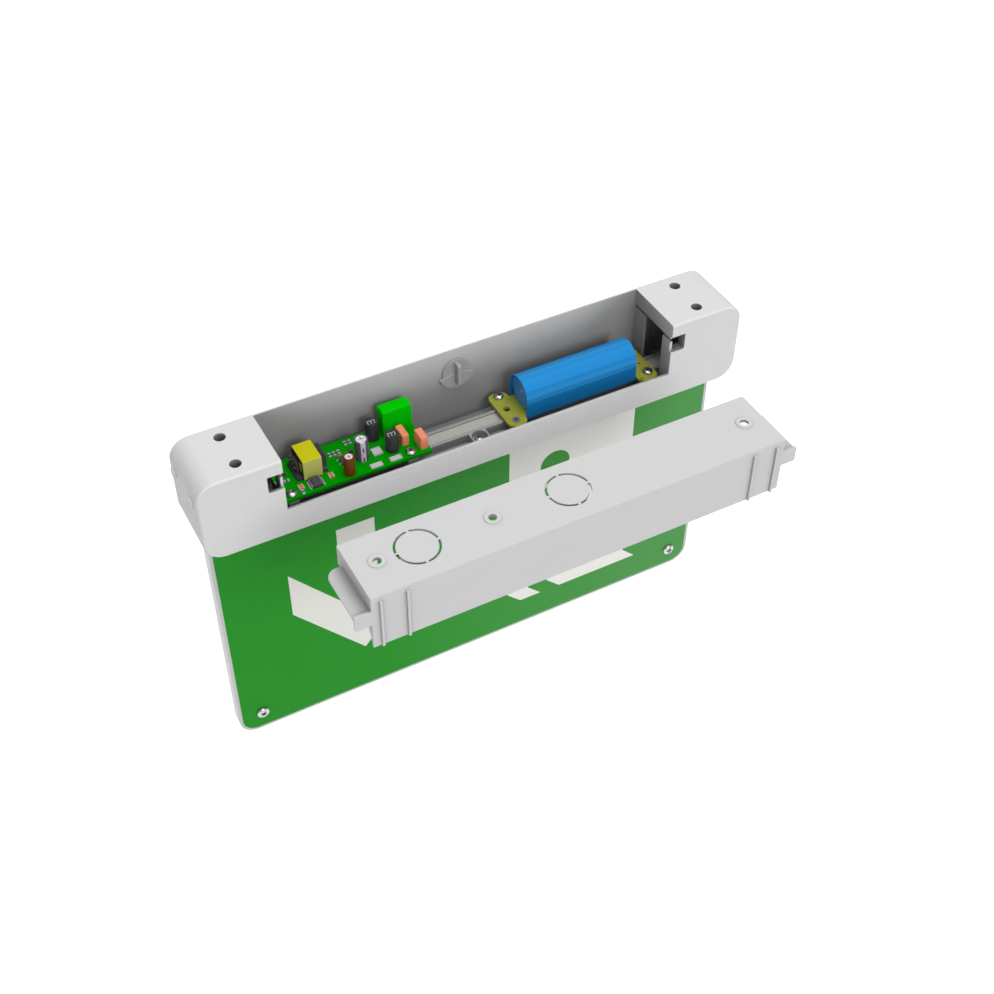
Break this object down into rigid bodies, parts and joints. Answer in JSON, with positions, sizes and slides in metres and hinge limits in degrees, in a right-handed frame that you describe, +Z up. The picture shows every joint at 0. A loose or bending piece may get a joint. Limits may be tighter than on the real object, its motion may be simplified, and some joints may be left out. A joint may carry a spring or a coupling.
{
  "type": "emergency exit light",
  "caption": "Ceiling-mounted emergency exit light: slim housing with driver board and battery, hanging green sign blade, and its mounting base drawn off to the front.",
  "frame": {"origin": "centre of the housing's top face, the middle of its four top holes", "axes": "+X along the housing to the battery end, -Y towards the front and the sign, +Z up to the ceiling"},
  "size_m": [0.3144, 0.1404, 0.2115],
  "materials": {
    "housing": "fine moulded texture",
    "mounting_base": "fine moulded texture",
    "rear_plug": "fine moulded texture",
    "blade_sheet": "smooth opal",
    "light_guide": "polished, clear",
    "legend_film": "printed film, green with white signs",
    "steel_screws": "zinc plated",
    "clamp_bar": "plain",
    "light_strip": "milky lacquer",
    "light_sources": "cast resin",
    "driver_board": "solder resist, green",
    "winding": "wrapped tape",
    "black_plastic": "moulded",
    "green_lacquer": "cast resin",
    "salmon_lacquer": "dipped lacquer",
    "brown_sleeve": "shrink sleeve",
    "grey_sleeve": "shrink sleeve",
    "black_sleeve": "shrink sleeve",
    "grey_ceramic": "matt",
    "tan_ceramic": "matt",
    "battery_plate": "laminate",
    "eyelet": "plated",
    "battery_cell": "plain can",
    "battery_sleeve": "shrink film"
  },
  "bodies": {
    "light_body": {"housing": "housing", "front_sheet": "blade_sheet", "light_guide": "light_guide", "rear_sheet": "blade_sheet", "legend_film": "legend_film", "blade_screws": "steel_screws", "clamp_bar": "clamp_bar", "clamp_bar_screw": "steel_screws", "blade_keys": "steel_screws", "light_strip": "light_strip", "light_sources": "light_sources", "driver_board": "driver_board", "board_screws": "steel_screws", "transformer_winding": "winding", "transformer_bobbin": "black_plastic", "bridge_rectifier": "black_plastic", "green_capacitor": "green_lacquer", "long_film_capacitor": "salmon_lacquer", "short_film_capacitor": "salmon_lacquer", "brown_capacitor": "brown_sleeve", "grey_capacitor": "grey_sleeve", "rear_choke": "black_sleeve", "front_choke": "black_sleeve", "control_chip": "black_plastic", "small_transistor": "black_plastic", "square_diode": "grey_ceramic", "flat_resistors": "grey_ceramic", "chip_resistors": "grey_ceramic", "chip_capacitors": "tan_ceramic", "battery_plate": "battery_plate", "battery_screws": "steel_screws", "battery_eyelet": "eyelet", "battery_cell": "battery_cell", "battery_sleeve": "battery_sleeve"},
    "mounting_base_body": {"mounting_base": "mounting_base"},
    "rear_plug_body": {"rear_plug": "rear_plug"}
  },
  "joints": [
    {"name": "mounting_base_slide", "type": "slide", "parent": "light_body", "child": "mounting_base_body", "axis": [0, 1, 0], "range_m": [0, 0.1004]},
    {"name": "rear_plug_turn", "type": "hinge", "parent": "light_body", "child": "rear_plug_body", "pos_m": [0.0005, 0.01705, -0.0142], "axis": [0, 1, 0], "range_deg": [0, 90]}
  ]
}
